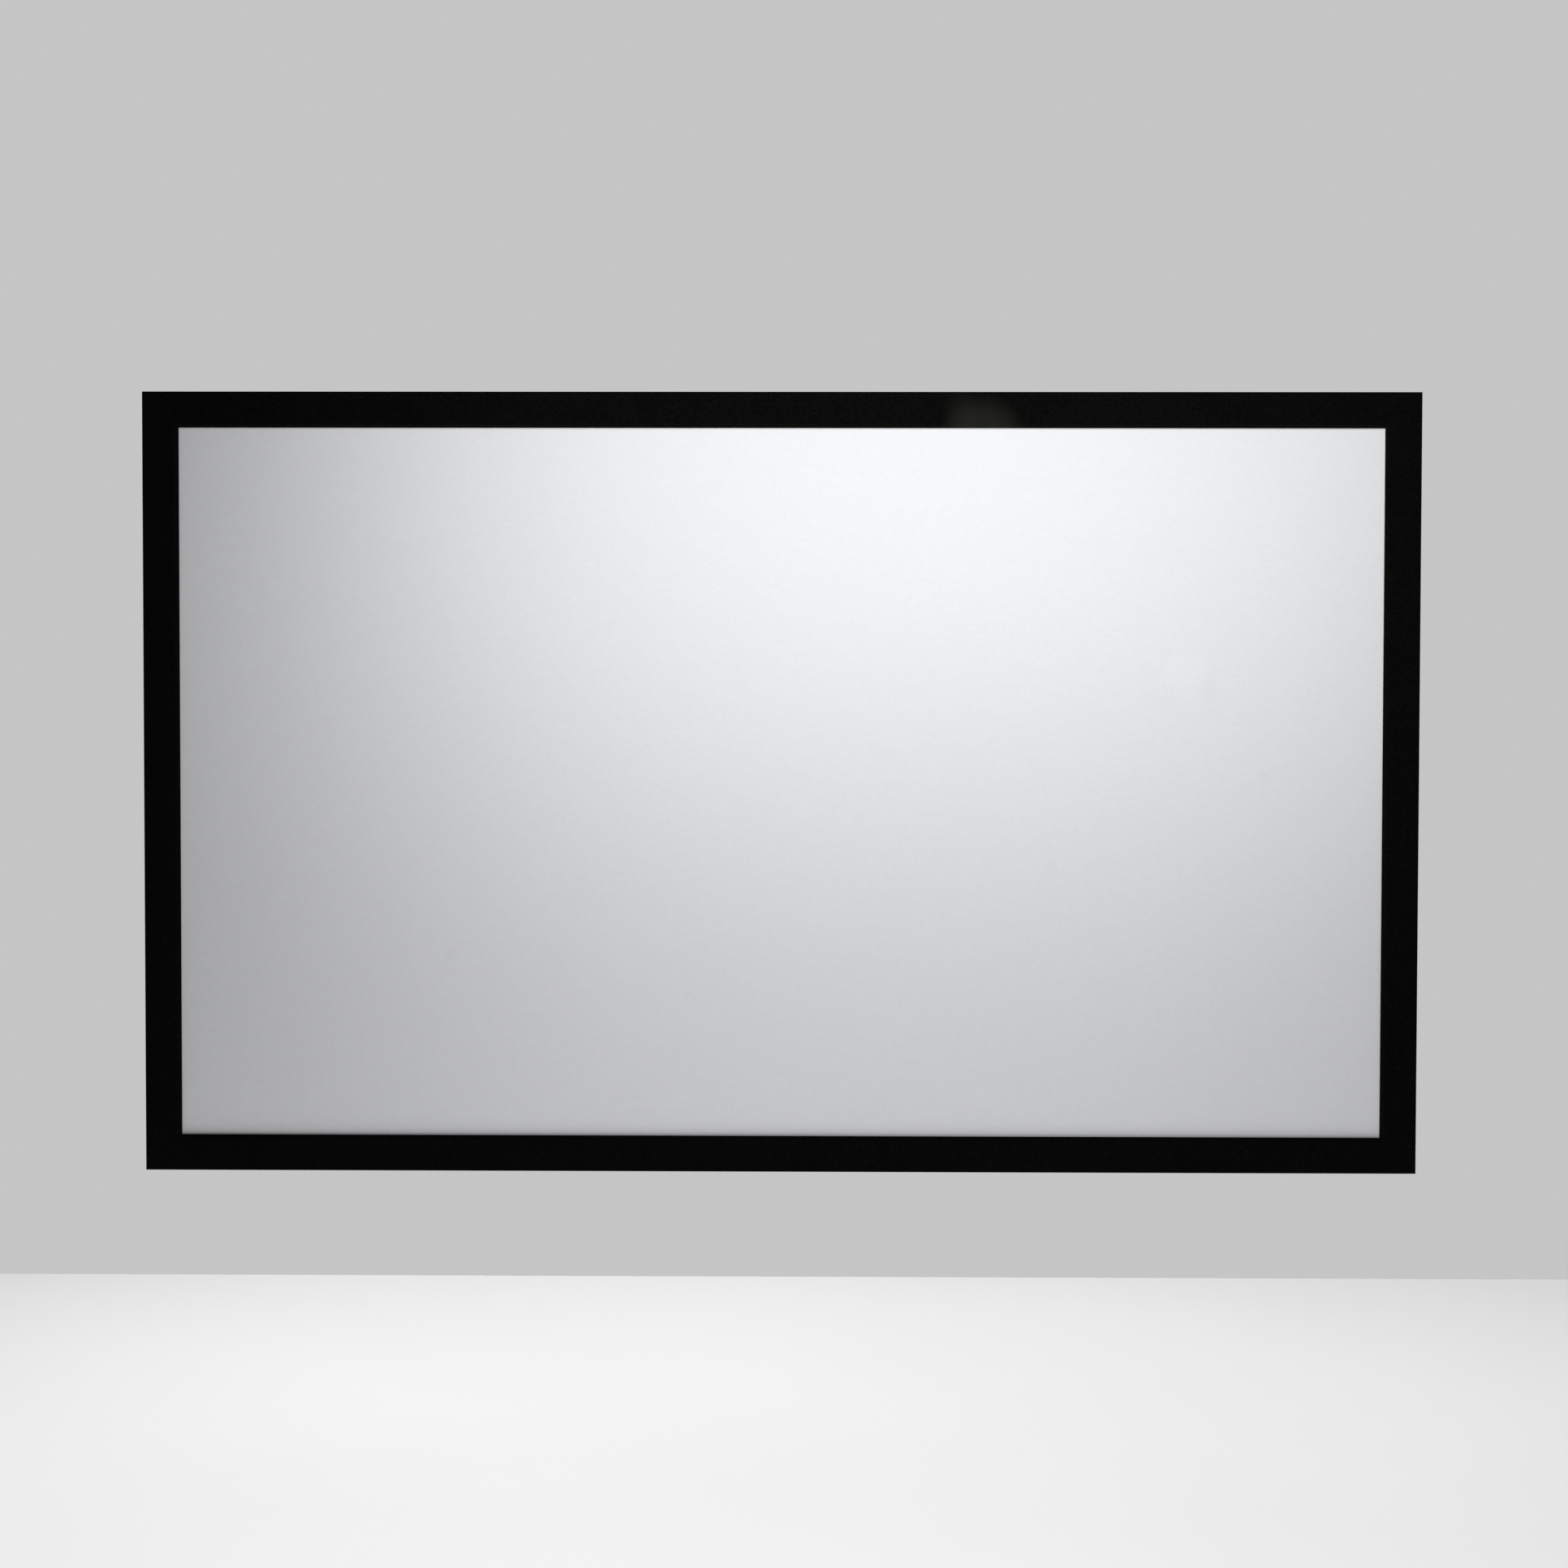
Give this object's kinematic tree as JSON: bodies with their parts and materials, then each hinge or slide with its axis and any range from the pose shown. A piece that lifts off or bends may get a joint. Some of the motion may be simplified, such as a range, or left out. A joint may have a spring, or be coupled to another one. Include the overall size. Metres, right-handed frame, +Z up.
{
  "type": "fixed frame projector screen",
  "caption": "Wall-hung projection screen: a matte white sheet stretched by springs inside a black velvet-covered aluminium frame with corner plates, a centre bar and wall hooks.",
  "frame": {"origin": "on the wall plane, straight behind the middle of the picture area", "axes": "+X to the viewer's right, +Y back into the wall (the picture faces -Y), +Z up"},
  "size_m": [2.157, 0.039, 1.32],
  "materials": {
    "velvet": "black flocked velvet",
    "aluminium": "mill finish extrusion",
    "zinc_steel": "zinc plated",
    "screw_steel": "black oxide",
    "spring_steel": "plated wire and rod",
    "projection_white": "matte white film with a black back",
    "black_plastic": "moulded, fine grain",
    "black_paint": "satin powder coat"
  },
  "bodies": {
    "root": {"top_left_rail": "aluminium", "top_left_velvet": "velvet", "top_left_sprung_rod": "spring_steel", "top_right_rail": "aluminium", "top_right_velvet": "velvet", "top_right_sprung_rod": "spring_steel", "bottom_left_rail": "aluminium", "bottom_left_velvet": "velvet", "bottom_left_sprung_rod": "spring_steel", "bottom_right_rail": "aluminium", "bottom_right_velvet": "velvet", "bottom_right_sprung_rod": "spring_steel", "left_rail": "aluminium", "left_velvet": "velvet", "left_sprung_rod": "spring_steel", "right_rail": "aluminium", "right_velvet": "velvet", "right_sprung_rod": "spring_steel", "screen_sheet": "projection_white", "corner_plate_top_left": "zinc_steel", "corner_screw_top_left_1": "screw_steel", "corner_screw_top_left_2": "screw_steel", "corner_screw_top_left_3": "screw_steel", "corner_screw_top_left_4": "screw_steel", "corner_plate_top_right": "zinc_steel", "corner_screw_top_right_1": "screw_steel", "corner_screw_top_right_2": "screw_steel", "corner_screw_top_right_3": "screw_steel", "corner_screw_top_right_4": "screw_steel", "corner_plate_bottom_left": "zinc_steel", "corner_screw_bottom_left_1": "screw_steel", "corner_screw_bottom_left_2": "screw_steel", "corner_screw_bottom_left_3": "screw_steel", "corner_screw_bottom_left_4": "screw_steel", "corner_plate_bottom_right": "zinc_steel", "corner_screw_bottom_right_1": "screw_steel", "corner_screw_bottom_right_2": "screw_steel", "corner_screw_bottom_right_3": "screw_steel", "corner_screw_bottom_right_4": "screw_steel", "splice_plate_top": "zinc_steel", "splice_screw_top_1": "screw_steel", "splice_screw_top_2": "screw_steel", "splice_screw_top_3": "screw_steel", "splice_screw_top_4": "screw_steel", "splice_plate_bottom": "zinc_steel", "splice_screw_bottom_1": "screw_steel", "splice_screw_bottom_2": "screw_steel", "splice_screw_bottom_3": "screw_steel", "splice_screw_bottom_4": "screw_steel", "centre_bar": "aluminium", "top_bar_shoe": "black_plastic", "bottom_bar_shoe": "black_plastic", "top_left_wall_hook": "black_paint", "top_right_wall_hook": "black_paint", "bottom_left_wall_hook": "black_paint", "bottom_right_wall_hook": "black_paint"}
  },
  "joints": []
}
